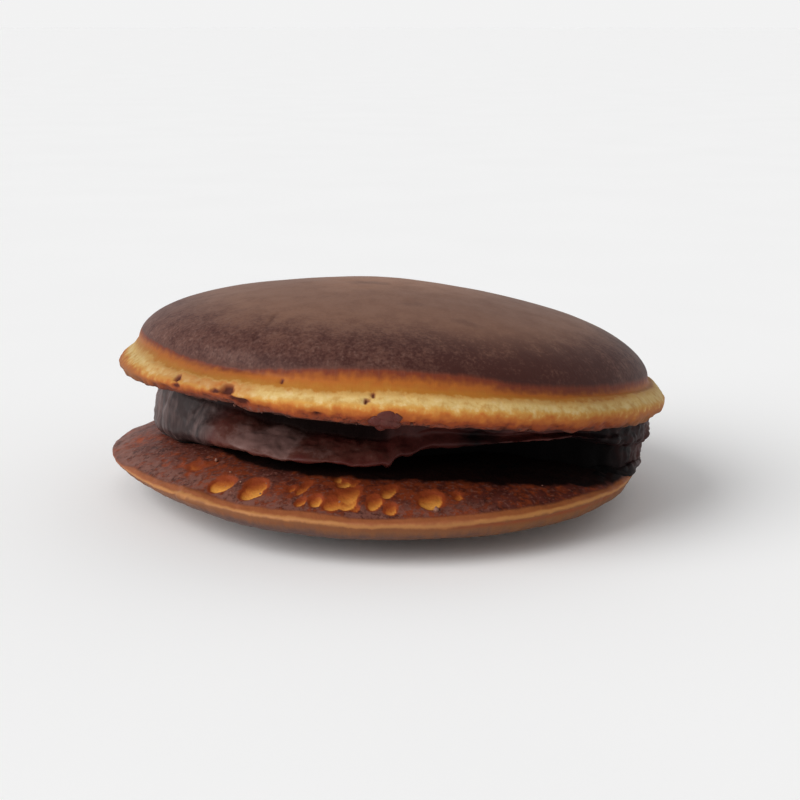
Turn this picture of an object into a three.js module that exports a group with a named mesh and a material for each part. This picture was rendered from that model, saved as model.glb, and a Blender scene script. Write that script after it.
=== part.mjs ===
// Dorayaki: two griddled pancakes with a bean-paste filling between them.
// Millimetres, +Z up, the lower pancake's flat spot on z = 0, the uncovered front toward -Y.
import * as THREE from 'three';

// ---- driving dimensions ---------------------------------------------------------------------

const SEGMENTS = 72; // steps around every piece
const GAP = 0.35; // clearance between the filling and each pancake

// Outlines: a mean radius, then [cosine, sine] amplitudes of the 2nd, 3rd, 4th ... harmonic.
const LOWER_RADIUS = 46.5;
const LOWER_WAVES = [[0.57, -0.75], [-0.74, 0.21], [0.63, -0.41], [-0.22, 0.48]];
const UPPER_RADIUS = 48.2;
const UPPER_WAVES = [[-0.05, 0.35], [0.92, -0.8]];

// Lower pancake, heights above the table.
const RIDGE_HEIGHT = 7.5; // the widest ring of its rim
const INNER_RISE = 4.8; // how far its inner face swells above the ridge
const INNER_POWER = 5; // larger keeps the swell flat and turns it down closer to the rim
const FLAT_SPOT_RADIUS = 27;

// Upper pancake, heights in its own frame with the flange tip at 0.
const DOME_HEIGHT = 16.7;
const DOME_RADIUS = 44.9; // where the dome meets the flange
const CREASE_HEIGHT = 3.2;
const DOME_POWER = 1.6;
const DOME_ROOT = 0.455;
const DOME_LEAN = 0.6; // the dome's edge stands higher on the left than on the right
const UPPER_CENTRE = new THREE.Vector3(1.6, 0, 21.75);
const UPPER_PITCH = THREE.MathUtils.degToRad(4.75); // front edge raised
const UPPER_ROLL = THREE.MathUtils.degToRad(4.45); // right edge lowered

// Underside of each rim: [distance in from the tip, distance below it]. The lower rim is deeper by
// a share toward one angle; the upper rim's depth is scaled by [angle in degrees, factor].
const LOWER_UNDERSIDE = [
  [0, 0], [0.1, 0.45], [0.4, 1], [1.2, 1.85], [2.8, 2.6], [5.2, 3.25], [9, 4], [14, 5.1],
];
const LOWER_SWELL = 0.45;
const LOWER_SWELL_ANGLE = THREE.MathUtils.degToRad(-53);
const UPPER_UNDERSIDE = [
  [0, 0], [0.12, 0.45], [0.45, 1], [1.1, 1.6], [2.2, 2.1], [4, 2.5], [7, 2.85], [12, 3.1], [20, 3.2],
];
const UPPER_DEPTH = [
  [-180, 1.05], [-160, 1.05], [-150, 0.92], [-143, 0.78], [-136, 0.66], [-124, 0.68], [-117, 1.12],
  [-104, 1.22], [-93, 1.2], [-84, 1.05], [-76, 1.05], [-68, 1.18], [-58, 1.34], [-45, 1.38],
  [-33, 1.46], [-10, 1.5], [40, 1.2], [120, 1],
];
const FLANGE_TOP = [[3, 2.9], [1.9, 2.1], [0.9, 1.2], [0.25, 0.45]]; // [distance in, height]

// Filling: [angle in degrees, then its radius under the upper pancake, at the rolled lip, in the
// hollow below the lip and on the lower pancake, and where on its side the lip starts and ends].
const FILLING_EDGE = [
  [-180, 40.6, 41.4, 39.6, 39.2, 0.1, 0.94],
  [-168, 38.4, 39.4, 36.6, 36.2, 0.12, 0.94],
  [-155, 34.0, 36.4, 32.4, 32.0, 0.2, 0.93],
  [-143, 29.8, 34.8, 29.4, 29.0, 0.36, 0.9],
  [-130, 27.0, 34.6, 27.0, 26.6, 0.5, 0.87],
  [-115, 26.0, 34.4, 25.5, 25.2, 0.54, 0.855],
  [-98, 26.5, 33.8, 24.5, 24.4, 0.54, 0.86],
  [-89, 28.0, 33.4, 24.0, 25.4, 0.5, 0.88],
  [-84, 30.0, 33.2, 23.5, 28.0, 0.34, 0.75],
  [-76, 33.6, 34.2, 23.5, 31.0, 0.16, 0.58],
  [-66, 37.0, 37.2, 24.0, 34.4, 0.13, 0.44],
  [-58, 39.0, 39.2, 24.5, 37.0, 0.1, 0.35],
  [-51, 40.2, 40.6, 25.5, 39.0, 0.08, 0.26],
  [-44, 41.6, 42.0, 28.5, 41.0, 0.06, 0.2],
  [-38, 43.2, 43.6, 35.5, 43.2, 0.05, 0.3],
  [-31, 44.8, 45.2, 41.5, 45.6, 0.04, 0.4],
  [-21, 46.2, 46.8, 44.8, 46.5, 0.04, 0.5],
  [-8, 46.6, 47.2, 46.4, 46.7, 0.04, 0.6],
  [10, 46.4, 47.0, 46.2, 46.5, 0.04, 0.6],
  [40, 44.2, 44.8, 43.6, 43.4, 0.08, 0.94],
  [80, 42.8, 43.6, 42.4, 42.2, 0.1, 0.94],
  [130, 42.2, 42.8, 41.8, 41.6, 0.1, 0.94],
  [160, 41.4, 42.0, 41.0, 40.8, 0.1, 0.94],
];
const LIP_STEPS = 9;
const LIP_SAG = 1.5; // above 1, the lip is fullest below its middle
const FLOOR = 0.97; // share of the height where the paste left on the lower pancake begins

// ---- shape functions ------------------------------------------------------------------------

function outline(radius, waves, angle) {
  let total = radius;
  waves.forEach(([cosine, sine], index) => {
    const turns = index + 2;
    total += cosine * Math.cos(turns * angle) + sine * Math.sin(turns * angle);
  });
  return total;
}

function lowerRadius(angle) {
  return outline(LOWER_RADIUS, LOWER_WAVES, angle);
}

function upperRadius(angle) {
  return outline(UPPER_RADIUS, UPPER_WAVES, angle);
}

// Straight interpolation in a list of [position, value] pairs.
function along(pairs, position) {
  const last = pairs[pairs.length - 1];
  if (position >= last[0]) {
    return last[1];
  }
  const upper = pairs.findIndex(([edge]) => edge > position);
  const [x0, y0] = pairs[upper - 1];
  const [x1, y1] = pairs[upper];
  return y0 + ((position - x0) / (x1 - x0)) * (y1 - y0);
}

// The values of a list's row at an angle, eased between its entries and closed at 180.
function eased(rows, angle) {
  const degrees = THREE.MathUtils.radToDeg(angle);
  const closed = [...rows, [180, ...rows[0].slice(1)]];
  const upper = closed.findIndex(([edge]) => edge > degrees);
  if (upper < 0) {
    return rows[0].slice(1);
  }
  const before = closed[upper - 1];
  const after = closed[upper];
  const share = THREE.MathUtils.smoothstep(degrees, before[0], after[0]);
  return before.slice(1).map((value, column) => THREE.MathUtils.lerp(value, after[column + 1], share));
}

function innerFaceHeight(radius, angle) {
  const share = radius / lowerRadius(angle);
  return RIDGE_HEIGHT + INNER_RISE * (1 - share ** INNER_POWER);
}

function domeHeight(share, angle) {
  const cap = (1 - share ** DOME_POWER) ** DOME_ROOT;
  const lean = DOME_LEAN * share ** 6 * Math.cos(angle);
  return CREASE_HEIGHT + (DOME_HEIGHT - CREASE_HEIGHT) * cap - lean;
}

// Distance below the tip of a rim's underside; its unevenness fades out toward the middle.
function lowerUnderside(radius, angle) {
  const share = radius / LOWER_RADIUS;
  const swell = 1 + LOWER_SWELL * share ** 2 * Math.cos(angle - LOWER_SWELL_ANGLE);
  return swell * along(LOWER_UNDERSIDE, lowerRadius(angle) - radius);
}

function upperUnderside(radius, angle) {
  const share = radius / UPPER_RADIUS;
  const [swell] = eased(UPPER_DEPTH, angle);
  const depth = 1 + (swell - 1) * share ** 2;
  return depth * along(UPPER_UNDERSIDE, upperRadius(angle) - radius);
}

// The filling's side at one angle as [radius, share of the height], from its top edge down.
function fillingSide(angle) {
  const [top, lip, hollow, foot, start, end] = eased(FILLING_EDGE, angle);
  const side = [[top, 0], [top, start / 2]];
  for (let step = 0; step <= LIP_STEPS; step += 1) {
    const part = step / LIP_STEPS;
    const bulge = Math.sin(Math.PI * part ** LIP_SAG) ** 0.6;
    const base = THREE.MathUtils.lerp(top, hollow, part);
    side.push([THREE.MathUtils.lerp(base, lip, bulge), THREE.MathUtils.lerp(start, end, part)]);
  }
  side.push([hollow, (end + FLOOR) / 2], [hollow, FLOOR], [foot - 0.3, (FLOOR + 1) / 2], [foot, 1]);
  return side;
}

function polar(radius, angle, height) {
  return new THREE.Vector3(radius * Math.cos(angle), radius * Math.sin(angle), height);
}

const upperPlace = new THREE.Matrix4()
  .makeTranslation(UPPER_CENTRE)
  .multiply(new THREE.Matrix4().makeRotationY(UPPER_ROLL))
  .multiply(new THREE.Matrix4().makeRotationX(-UPPER_PITCH));

// ---- closed shells --------------------------------------------------------------------------

// A closed shell from rings of points listed from the top pole to the bottom pole.
// pointsAt(angle) gives one half-section; the poles are single points on the axis.
function shell(topPole, pointsAt, bottomPole) {
  const positions = [...topPole.toArray()];
  let ringCount = 0;
  for (let step = 0; step < SEGMENTS; step += 1) {
    const section = pointsAt(-Math.PI + (2 * Math.PI * step) / SEGMENTS);
    ringCount = section.length;
    section.forEach((point) => positions.push(...point.toArray()));
  }
  positions.push(...bottomPole.toArray());
  const bottomIndex = 1 + SEGMENTS * ringCount;
  const index = [];
  for (let step = 0; step < SEGMENTS; step += 1) {
    const here = 1 + step * ringCount;
    const next = 1 + ((step + 1) % SEGMENTS) * ringCount;
    index.push(0, here, next);
    for (let ring = 0; ring < ringCount - 1; ring += 1) {
      index.push(here + ring, here + ring + 1, next + ring + 1);
      index.push(here + ring, next + ring + 1, next + ring);
    }
    index.push(here + ringCount - 1, bottomIndex, next + ringCount - 1);
  }
  const geometry = new THREE.BufferGeometry();
  geometry.setAttribute('position', new THREE.Float32BufferAttribute(positions, 3));
  geometry.setIndex(index);
  geometry.computeVertexNormals();
  return geometry;
}

// ---- pieces ---------------------------------------------------------------------------------

function lowerPancake() {
  const innerShares = [0.3, 0.5, 0.64, 0.75, 0.84, 0.91, 0.96, 0.99, 1];
  const section = (angle) => {
    const edge = lowerRadius(angle);
    const inner = innerShares.map((share) => {
      const radius = edge * share;
      return polar(radius, angle, innerFaceHeight(radius, angle));
    });
    const under = LOWER_UNDERSIDE.slice(1).map(([inset]) => {
      const radius = edge - inset;
      return polar(radius, angle, RIDGE_HEIGHT - lowerUnderside(radius, angle));
    });
    return [...inner, ...under, polar(FLAT_SPOT_RADIUS, angle, 0)];
  };
  const top = new THREE.Vector3(0, 0, RIDGE_HEIGHT + INNER_RISE);
  return shell(top, section, new THREE.Vector3(0, 0, 0));
}

function upperPancake() {
  const domeShares = [0.15, 0.3, 0.45, 0.6, 0.72, 0.82, 0.9, 0.95, 0.98, 0.995, 1];
  const section = (angle) => {
    const edge = upperRadius(angle);
    const domeEdge = (DOME_RADIUS * edge) / UPPER_RADIUS;
    const dome = domeShares.map((share) => polar(domeEdge * share, angle, domeHeight(share, angle)));
    const flange = FLANGE_TOP.map(([inset, height]) => polar(edge - inset, angle, height));
    const under = UPPER_UNDERSIDE.map(([inset]) => {
      const radius = edge - inset;
      return polar(radius, angle, -upperUnderside(radius, angle));
    });
    return [...dome, ...flange, ...under];
  };
  const deepest = UPPER_UNDERSIDE[UPPER_UNDERSIDE.length - 1][1];
  const geometry = shell(
    new THREE.Vector3(0, 0, DOME_HEIGHT),
    section,
    new THREE.Vector3(0, 0, -deepest),
  );
  return geometry.applyMatrix4(upperPlace);
}

function filling() {
  const faceShares = [0.3, 0.55, 0.75, 0.88];
  const pointAt = (radius, share, angle) => {
    const top = polar(radius, angle, -upperUnderside(radius, angle) - GAP).applyMatrix4(upperPlace);
    const bottom = polar(radius, angle, innerFaceHeight(radius, angle) + GAP);
    return top.lerp(bottom, share);
  };
  const section = (angle) => {
    const side = fillingSide(angle);
    const [topEdge] = side[0];
    const [foot] = side[side.length - 1];
    return [
      ...faceShares.map((share) => pointAt(topEdge * share, 0, angle)),
      ...side.map(([radius, share]) => pointAt(radius, share, angle)),
      ...faceShares.map((share) => pointAt(foot * share, 1, angle)).reverse(),
    ];
  };
  return shell(pointAt(0, 0, 0), section, pointAt(0, 1, 0));
}

// ---- assembly -------------------------------------------------------------------------------

const group = new THREE.Group();
group.name = 'dorayaki';

function addPiece(name, geometry, color, roughness) {
  const material = new THREE.MeshStandardMaterial({ color, roughness, metalness: 0 });
  const mesh = new THREE.Mesh(geometry, material);
  mesh.name = name;
  group.add(mesh);
}

addPiece('lower_pancake', lowerPancake(), 0x7a4326, 0.8);
addPiece('upper_pancake', upperPancake(), 0x6a4233, 0.7);
addPiece('filling', filling(), 0x45281f, 0.5);

export default group;
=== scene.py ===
"""Dorayaki: two uneven griddled pancakes around a dark bean-paste filling, on a pale studio floor.

Shapes are worked out in millimetres and turned into Blender's metres when a piece is finished.
"""
import math
import random

import bmesh
import bpy
from bpy.props import FloatProperty, FloatVectorProperty, IntProperty, PointerProperty
from bpy.types import Operator, Panel, PropertyGroup
from mathutils import Euler, Matrix, Vector, noise


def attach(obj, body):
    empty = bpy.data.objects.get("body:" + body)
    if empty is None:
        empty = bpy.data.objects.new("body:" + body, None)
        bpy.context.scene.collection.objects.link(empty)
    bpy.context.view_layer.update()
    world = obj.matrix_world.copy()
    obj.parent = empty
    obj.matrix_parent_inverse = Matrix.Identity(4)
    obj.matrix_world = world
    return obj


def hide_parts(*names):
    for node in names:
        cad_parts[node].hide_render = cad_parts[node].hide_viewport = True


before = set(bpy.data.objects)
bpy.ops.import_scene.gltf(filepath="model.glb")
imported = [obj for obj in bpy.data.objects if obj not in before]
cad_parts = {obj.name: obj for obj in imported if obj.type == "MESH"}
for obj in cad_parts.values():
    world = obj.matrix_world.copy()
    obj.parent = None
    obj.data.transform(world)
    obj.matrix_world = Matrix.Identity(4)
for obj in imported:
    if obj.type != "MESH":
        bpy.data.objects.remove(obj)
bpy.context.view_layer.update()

bl_info = {
    "name": "Dorayaki",
    "version": (1, 0, 0),
    "blender": (4, 5, 0),
    "location": "View3D > Sidebar > Dorayaki",
    "description": "Makes a filled dorayaki and its studio, piece by piece",
    "category": "Add Mesh",
}

MM = 0.001
FLOOR_RADIUS = 12.0  # metres
RIM_RADIUS = 46.0  # about the radius of both rims, for streaks that run toward the middle
FINE = 0.1  # spacing of the fine line that a section's points are picked from

# Outlines: [cosine, sine] amplitudes of the 2nd, 3rd, 4th ... harmonic around a mean radius.
LOWER_WAVES = [(0.57, -0.75), (-0.74, 0.21), (0.63, -0.41), (-0.22, 0.48)]
UPPER_WAVES = [(-0.05, 0.35), (0.92, -0.8)]

# Rim profiles: (distance in from the tip, distance below it; above it for the flange's top).
LOWER_UNDERSIDE = [
    (0.1, 0.45), (0.4, 1.0), (1.2, 1.85), (2.8, 2.6), (5.2, 3.25), (9.0, 4.0), (14.0, 5.1),
]
UPPER_UNDERSIDE = [
    (0.0, 0.0), (0.12, 0.45), (0.45, 1.0), (1.1, 1.6), (2.2, 2.1), (4.0, 2.5), (7.0, 2.85),
    (12.0, 3.1), (20.0, 3.2),
]
FLANGE_TOP = [(3.0, 2.9), (1.9, 2.1), (0.9, 1.2), (0.25, 0.45)]
DOME_CURVE = (2.2, 1.6, 0.455)  # how the dome's points gather at its foot, and its roundness
FACE_CURVE = 5  # the higher, the flatter the lower pancake's face is before it falls to the ridge
LOWER_SWELL = (0.45, math.radians(-53))  # how much deeper one side hangs, and in which direction

# How far apart a section's points are: (distance along it from its corner, spacing up to there).
UPPER_SPACING = [(-12, 0.95), (-3, 0.5), (9, 0.17), (16, 0.8), (math.inf, 2.5)]
LOWER_SPACING = [(-17, 2.2), (-2, 0.34), (4, 0.2), (10, 0.9), (math.inf, 2.5)]

# Depth of the upper rim: (angle in degrees, factor).
UPPER_DEPTH = [
    (-180, 1.05), (-160, 1.05), (-150, 0.92), (-143, 0.78), (-136, 0.66), (-124, 0.68), (-117, 1.12),
    (-104, 1.22), (-93, 1.2), (-84, 1.05), (-76, 1.05), (-68, 1.18), (-58, 1.34), (-45, 1.38),
    (-33, 1.46), (-10, 1.5), (40, 1.2), (120, 1.0), (180, 1.05),
]

# Filling: (angle in degrees, then its radius under the upper pancake, at the rolled lip, in the hollow
# below the lip and on the lower pancake, and where on its side the lip starts and ends).
FILLING_EDGE = [
    (-180, 40.6, 41.4, 39.6, 39.2, 0.1, 0.94),
    (-168, 38.4, 39.4, 36.6, 36.2, 0.12, 0.94),
    (-155, 34.0, 36.4, 32.4, 32.0, 0.2, 0.93),
    (-143, 29.8, 34.8, 29.4, 29.0, 0.36, 0.9),
    (-130, 27.0, 34.6, 27.0, 26.6, 0.5, 0.87),
    (-115, 26.0, 34.4, 25.5, 25.2, 0.54, 0.855),
    (-98, 26.5, 33.8, 24.5, 24.4, 0.54, 0.86),
    (-89, 28.0, 33.4, 24.0, 25.4, 0.5, 0.88),
    (-84, 30.0, 33.2, 23.5, 28.0, 0.34, 0.75),
    (-76, 33.6, 34.2, 23.5, 31.0, 0.16, 0.58),
    (-66, 37.0, 37.2, 24.0, 34.4, 0.13, 0.44),
    (-58, 39.0, 39.2, 24.5, 37.0, 0.1, 0.35),
    (-51, 40.2, 40.6, 25.5, 39.0, 0.08, 0.26),
    (-44, 41.6, 42.0, 28.5, 41.0, 0.06, 0.2),
    (-38, 43.2, 43.6, 35.5, 43.2, 0.05, 0.3),
    (-31, 44.8, 45.2, 41.5, 45.6, 0.04, 0.4),
    (-21, 46.2, 46.8, 44.8, 46.5, 0.04, 0.5),
    (-8, 46.6, 47.2, 46.4, 46.7, 0.04, 0.6),
    (10, 46.4, 47.0, 46.2, 46.5, 0.04, 0.6),
    (40, 44.2, 44.8, 43.6, 43.4, 0.08, 0.94),
    (80, 42.8, 43.6, 42.4, 42.2, 0.1, 0.94),
    (130, 42.2, 42.8, 41.8, 41.6, 0.1, 0.94),
    (160, 41.4, 42.0, 41.0, 40.8, 0.1, 0.94),
    (180, 40.6, 41.4, 39.6, 39.2, 0.1, 0.94),
]
LIP_SAG = 1.5  # above 1, the lip is fullest below its middle
LIP_BEGINS, LIP_ENDS, HOLLOW_ENDS = 0.12, 0.72, 0.86  # shares of the way down the side
STROKED = (2.5, 2.62)  # radians to the left where the stroked paste begins and is full
UPRIGHT = 0.12  # factor on the height that draws the paste's strokes out upright
PASTE_FLOOR = 0.97  # share of the height where the paste left on the lower pancake begins

# Look of the filling: (angle in degrees, dry film on its outside, partly a painted highlight where the
# light falls on it, and how much painted shade darkens it).
FILLING_LOOK = [
    (-180, 0.7, 0.0), (-166, 0.7, 0.0), (-161, 0.15, 0.0), (-155, 0.3, 0.0), (-148, 0.5, 0.0),
    (-142, 0.65, 0.0), (-136, 0.9, 0.0), (-130, 1.15, 0.0), (-118, 1.3, 0.0), (-113, 0.55, 0.0),
    (-106, 0.55, 0.0), (-99, 0.52, 0.0), (-92, 0.5, 0.0), (-88, 0.35, 0.1), (-82, 0.15, 0.4),
    (-71, 0.0, 0.5), (-65, 0.0, 0.9), (-61, 0.0, 0.8), (-57, 0.1, 0.3), (-50, 0.1, 0.2),
    (-44, 0.0, 0.6), (-36, 0.0, 1.0), (-20, 0.3, 0.9), (-11, 0.65, 0.5), (20, 0.5, 0.2), (60, 0.5, 0.0),
    (120, 0.7, 0.0), (180, 0.7, 0.0),
]

# Drips on the rolled lip: (angle in degrees, width in degrees, share of the side's height).
DRIPS = [(-97.2, 1.9, 0.05), (-94.2, 1.1, 0.035), (-87.6, 0.9, 0.07)]

# Browning of the upper pancake: (angle in degrees, then where along the section from the crease
# the cap ends, the pale band begins, the pale band ends and the dark underside begins, how dark the
# ring above the rim is, how much painted shade darkens the rim, and how much of the pale band is
# browned).
UPPER_BANDS = [
    (-180, -1.9, 0.3, 2.5, 6.4, 0.0, 0.5, 0.0),
    (-165, -1.9, 0.5, 2.6, 6.5, 0.0, 0.55, 0.0),
    (-150, -1.4, 0.8, 3.3, 6.4, 0.0, 0.55, 0.0),
    (-142, -0.9, 1.6, 3.9, 7.0, 0.05, 0.45, 0.2),
    (-135, -0.3, 2.0, 4.0, 6.7, 0.1, 0.45, 0.35),
    (-127, 0.0, 2.3, 4.1, 6.0, 0.15, 0.45, 0.55),
    (-121, 0.0, 2.3, 4.3, 5.5, 0.15, 0.35, 0.7),
    (-117, -0.3, 2.2, 4.6, 6.0, 0.2, 0.15, 0.4),
    (-114, -0.7, 2.1, 4.7, 6.4, 0.2, 0.1, 0.05),
    (-112, -0.9, 2.1, 4.6, 6.6, 0.2, 0.05, 0.0),
    (-105, -1.7, 2.0, 4.4, 7.1, 0.25, 0.0, 0.0),
    (-97, -2.2, 1.6, 4.1, 7.0, 0.3, 0.0, 0.0),
    (-90, -2.6, 1.1, 3.8, 6.9, 0.35, 0.0, 0.0),
    (-82, -2.5, 1.1, 3.9, 7.3, 0.6, 0.05, 0.0),
    (-75, -2.3, 1.3, 4.1, 7.5, 0.85, 0.1, 0.0),
    (-60, -1.0, 1.9, 4.3, 7.1, 1.0, 0.4, 0.0),
    (-45, -0.8, 2.45, 4.5, 7.3, 1.0, 0.65, 0.0),
    (-25, -1.0, 1.4, 4.4, 7.8, 0.5, 0.5, 0.0),
    (45, -1.8, 1.4, 4.2, 7.2, 0.4, 0.2, 0.0),
    (110, -1.2, 1.9, 4.3, 7.0, 0.2, 0.2, 0.0),
    (180, -1.9, 0.3, 2.5, 6.4, 0.0, 0.5, 0.0),
]

# Browning of the lower pancake: (angle in degrees, where the dark face ends, where the ridge ends,
# how much painted shade darkens the side below it, how ashen the face is near the rim).
LOWER_BANDS = [
    (-180, 0.3, 0.9, 0.6, 1.0),
    (-168, 0.1, 0.8, 0.5, 1.0),
    (-160, -0.9, 0.5, 0.4, 1.0),
    (-150, -1.1, 0.7, 0.2, 1.0),
    (-135, -2.0, 0.1, 0.5, 1.0),
    (-120, -1.5, 0.05, 0.8, 1.0),
    (-113, -1.7, 0.2, 0.7, 0.8),
    (-105, -1.9, 0.35, 0.6, 0.62),
    (-90, -0.9, 0.6, 0.4, 0.6),
    (-75, -1.1, 0.95, 0.2, 0.45),
    (-60, -1.3, 0.45, 0.0, 0.1),
    (-45, -1.1, 0.35, 0.0, 0.0),
    (-35, -0.7, 0.5, 0.0, 0.0),
    (-20, -0.6, 0.5, 0.0, 0.0),
    (60, -1.5, 0.5, 0.4, 0.5),
    (120, -1.1, 0.4, 0.5, 0.8),
    (180, 0.3, 0.9, 0.6, 1.0),
]

# Painted shadow on the lower pancake's face, a near-black film where the filling's overhang and the
# pocket shade it: (angle in degrees, how far in from the rim it begins).
FACE_SHADOW = [
    (-180, 20.0), (-160, 16.0), (-145, 13.0), (-130, 12.0), (-110, 12.4), (-95, 12.4), (-85, 12.0),
    (-75, 11.2), (-65, 9.4), (-58, 7.2), (-50, 5.6), (-45, 4.2), (-38, 2.0), (-30, 0.7), (0, 1.2),
    (60, 12.0), (180, 20.0),
]

# Burst bubbles on the lower pancake's face:
# (angle in degrees, distance in from the rim, half width, half height, lean in degrees, depth, gold).
FACE_BUBBLES = [
    (-177, 5.0, 1.5, 0.7, 0, 0.12, 0.5),
    (-156, 5.0, 0.7, 0.5, 0, 0.1, 0.3),
    (-153.5, 4.4, 0.8, 0.6, 0, 0.15, 0.32),
    (-149, 5.6, 1.2, 0.8, 10, 0.2, 0.4),
    (-145, 7.0, 2.6, 1.7, 20, 0.3, 0.5),
    (-142.5, 9.0, 1.6, 1.4, 20, 0.2, 0.38),
    (-142.8, 4.4, 0.8, 0.6, 0, 0.15, 0.35),
    (-137, 8.0, 1.1, 1.6, 10, 0.15, 0.3),
    (-129.7, 5.0, 2.2, 2.3, 14, 0.7, 0.95),
    (-120.6, 6.6, 2.1, 2.3, -12, 0.8, 0.8),
    (-120.2, 5.1, 2.0, 2.5, -5, 0.9, 1.0),
    (-111, 7.5, 0.6, 1.1, 0, 0.35, 0.6),
    (-108.4, 8.3, 0.9, 2.3, 8, 0.4, 0.65),
    (-107.0, 4.3, 0.85, 1.3, 5, 0.5, 0.75),
    (-103.8, 4.9, 1.15, 1.7, -12, 0.6, 0.9),
    (-101.2, 11.9, 0.8, 1.5, -28, 0.35, 0.75),
    (-99, 10.4, 1.3, 1.2, -20, 0.5, 0.95),
    (-96.5, 10.6, 0.9, 1.3, 20, 0.35, 0.6),
    (-99.6, 4.5, 1.6, 2.0, 15, 0.5, 0.78),
    (-96.8, 7.4, 2.0, 2.7, 6, 0.45, 0.7),
    (-96.6, 5.0, 1.6, 2.0, 10, 0.6, 0.85),
    (-94.6, 3.6, 0.8, 0.9, 0, 0.4, 0.6),
    (-90.6, 5.1, 1.25, 2.1, 14, 0.6, 0.85),
    (-87.3, 8.2, 1.2, 2.2, 24, 0.55, 0.85),
    (-87.2, 3.5, 1.15, 1.6, 8, 0.45, 0.72),
    (-78.2, 5.6, 2.0, 2.6, 24, 0.9, 1.0),
    (-72, 6.0, 0.9, 1.2, 0, 0.45, 0.65),
    (-64, 7.0, 0.5, 0.6, 0, 0.15, 0.3),
    (-47, 3.6, 1.1, 1.0, 0, 0.2, 0.3),
]

# Holes in the upper pancake's rim: (angle in degrees, distance down from the crease, half width,
# half height, depth).
RIM_HOLES = [
    (-133.2, 3.3, 0.55, 0.75, 0.5),
    (-132.6, 4.7, 0.9, 0.5, 0.25),
    (-120.9, 3.8, 1.15, 1.05, 0.9),
    (-123.2, 4.4, 0.9, 0.5, 0.3),
    (-117.6, 5.5, 1.2, 0.8, 0.7),
    (-119.5, 5.0, 0.7, 0.5, 0.3),
    (-111.2, 0.8, 0.3, 0.4, 0.3),
    (-103.4, 6.3, 0.6, 0.6, 0.45),
    (-93.4, 1.7, 0.3, 0.55, 0.4),
    (-94.3, 2.9, 0.4, 0.6, 0.6),
]

# Dabs of paste on the upper rim: (angle in degrees, distance down from the crease, half width,
# half height, thickness).
SMEAR_DABS = [
    (-90.2, 5.4, 1.7, 0.9, 0.5),
    (-92.2, 6.5, 1.3, 1.1, 0.7),
    (-88.5, 5.6, 0.9, 0.9, 0.5),
    (-91.4, 8.0, 1.0, 1.6, 1.0),
    (-88.9, 7.2, 1.2, 1.3, 0.8),
    (-90.3, 6.9, 1.6, 1.4, 0.8),
]

WEATHERED = (35, 44)  # distance to either side where the weathered edge begins and is full

# Light crumbs placed one by one: (angle in degrees, distance in from the rim, size).
LIGHT_CRUMBS = [(-77.9, 2.7, 0.36), (-77.7, 3.2, 0.24), (-142.3, 9.9, 0.3)]

# Faint marks on the dome, darker spots and a fold whose dark line is painted shade in its crease:
# (x, y, half width, half height, turn in degrees, strength),
# from the middle of the upper pancake before it is tilted.
DOME_MARKS = [
    (-4.6, -7.9, 4.2, 2.2, 0, 0.5),
    (11.5, -28.4, 3.2, 1.6, 10, 0.3),
    (2.7, -22.3, 2.6, 1.2, -15, 0.3),
    (-19.6, -32.0, 0.5, 3.4, 14, 0.5),
    (-21.6, -36.6, 0.45, 2.4, 10, 0.45),
]

# What is kept at each point of a piece for its finish to read.
UPPER_LAYERS = ("tone", "baked", "dull", "browned", "ends", "hole", "mark")
LOWER_LAYERS = ("tone", "grey", "ashen", "bubble", "halo", "groove", "stain")
PASTE_LAYERS = ("hollow", "moist", "film", "stroke")


def tint(red, green, blue):
    """A display colour, 0 to 255, as the scene colour that Blender's colour properties hold."""
    scaled = [channel / 255 for channel in (red, green, blue)]
    return [c / 12.92 if c <= 0.04045 else ((c + 0.055) / 1.055) ** 2.4 for c in scaled]


# ---- sizes and colours a user would change ----------------------------------------------------------


def length(name, description, millimetres):
    size = millimetres * MM
    return FloatProperty(name=name, description=description, default=size, unit="LENGTH", precision=5)


def turn(name, description, degrees):
    angle = math.radians(degrees)
    return FloatProperty(name=name, description=description, default=angle, subtype="ANGLE")


def share(name, description, value):
    limits = {"min": 0, "max": 1}
    return FloatProperty(name=name, description=description, default=value, subtype="FACTOR", **limits)


def colour(name, description, *display):
    return FloatVectorProperty(
        name=name, description=description, default=tint(*display), size=3, subtype="COLOR", min=0, max=1
    )


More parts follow.
